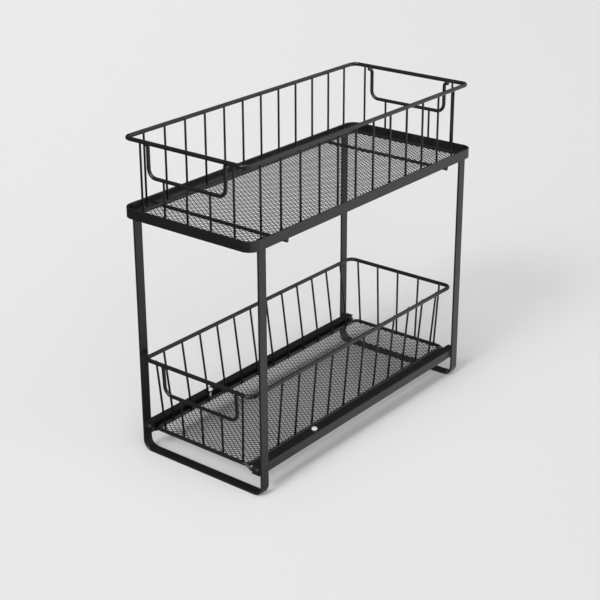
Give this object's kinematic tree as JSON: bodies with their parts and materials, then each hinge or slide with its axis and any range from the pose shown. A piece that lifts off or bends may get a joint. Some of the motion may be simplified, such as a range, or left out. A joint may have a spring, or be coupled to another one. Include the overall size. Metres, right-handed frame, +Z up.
{
  "type": "pull out cabinet basket",
  "caption": "Two-tier wire organiser: a flat-bar frame with a lift-out mesh-bottomed basket on top and a mesh-bottomed drawer that slides out on channel rails below.",
  "frame": {"origin": "centre of the footprint, on the surface that the leg loops stand on", "axes": "+X across the width to the right, +Y along the depth towards the rear (the drawer slides out towards -Y), +Z up"},
  "size_m": [0.185, 0.42, 0.3847],
  "materials": {
    "black_bar": "satin black powder coat on flat steel bar and sheet",
    "black_wire": "satin black powder coat on round steel wire",
    "black_mesh": "satin black powder coat on expanded steel mesh",
    "white_peg": "white moulded nylon",
    "black_glide": "black moulded nylon"
  },
  "bodies": {
    "frame": {"shelf_ring": "black_bar", "front_leg_loop": "black_bar", "rear_leg_loop": "black_bar", "front_shelf_wire": "black_wire", "rear_shelf_wire": "black_wire", "left_rail": "black_bar", "right_rail": "black_bar", "left_stop_peg": "white_peg", "right_stop_peg": "white_peg"},
    "upper_basket": {"basket_rim": "black_wire", "basket_front_handle": "black_wire", "basket_rear_handle": "black_wire", "basket_left_wires": "black_wire", "basket_right_wires": "black_wire", "basket_front_wires": "black_wire", "basket_rear_wires": "black_wire", "basket_floor_frame": "black_wire", "basket_mesh_floor": "black_mesh"},
    "drawer": {"drawer_rim": "black_wire", "drawer_handle": "black_wire", "drawer_left_wires": "black_wire", "drawer_right_wires": "black_wire", "drawer_front_wires": "black_wire", "drawer_rear_wires": "black_wire", "drawer_floor_frame": "black_wire", "drawer_mesh_floor": "black_mesh", "drawer_front_arms": "black_wire", "drawer_rear_arms": "black_wire", "front_left_glide": "black_glide", "front_right_glide": "black_glide", "rear_left_glide": "black_glide", "rear_right_glide": "black_glide"}
  },
  "joints": [
    {"name": "drawer_slide", "type": "slide", "parent": "frame", "child": "drawer", "axis": [0, -1, 0], "range_m": [0, 0.272]},
    {"name": "basket_lift", "type": "slide", "parent": "frame", "child": "upper_basket", "axis": [0, 0, 1], "range_m": [0, 0.12]}
  ]
}
